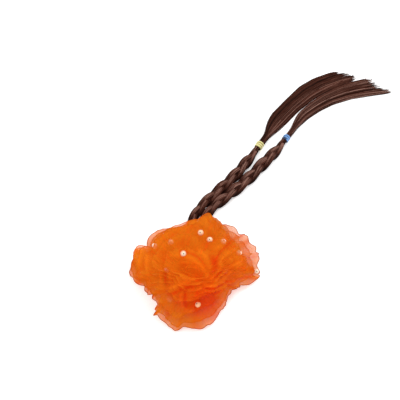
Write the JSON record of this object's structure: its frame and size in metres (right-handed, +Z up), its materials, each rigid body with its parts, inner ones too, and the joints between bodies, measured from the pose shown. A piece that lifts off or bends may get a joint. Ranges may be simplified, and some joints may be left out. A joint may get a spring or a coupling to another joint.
{
  "type": "hair clip",
  "caption": "Hair clip with a ruffled organza flower dotted with half pearls and braided pigtails of dark false hair, each bound with an elastic band and ending in a loose tuft.",
  "frame": {"origin": "on the flat underside of the clip, below the middle of the flower", "axes": "+Z up out of the surface that the clip lies on, through the flower; +Y along the braids, from the flower to the tufts"},
  "size_m": [0.087, 0.2739, 0.0423],
  "materials": {
    "organza": "sheer crisp orange organza",
    "hair": "dark brown synthetic hair with a soft sheen",
    "pearl": "warm white pearl lustre",
    "elastic_yellow": "pale yellow covered elastic",
    "elastic_blue": "mid blue covered elastic",
    "clip_metal": "dark satin paint"
  },
  "bodies": {
    "root": {"clip": "clip_metal", "petal_base_lower": "organza", "petal_base_upper": "organza", "petal_cup_1": "organza", "petal_cup_2": "organza", "petal_cup_3": "organza", "petal_cup_4": "organza", "petal_cup_5": "organza", "petal_cup_6": "organza", "petal_cup_7": "organza", "pearl_01": "pearl", "pearl_02": "pearl", "pearl_03": "pearl", "pearl_04": "pearl", "pearl_05": "pearl", "pearl_06": "pearl", "pearl_07": "pearl", "pearl_08": "pearl", "pearl_09": "pearl", "pearl_10": "pearl", "pearl_11": "pearl", "pearl_12": "pearl", "pearl_13": "pearl", "braid_a_strand_1": "hair", "braid_a_strand_2": "hair", "braid_a_strand_3": "hair", "braid_b_strand_1": "hair", "braid_b_strand_2": "hair", "braid_b_strand_3": "hair", "band_yellow": "elastic_yellow", "band_blue": "elastic_blue", "tuft_a": "hair", "tuft_b": "hair"}
  },
  "joints": []
}
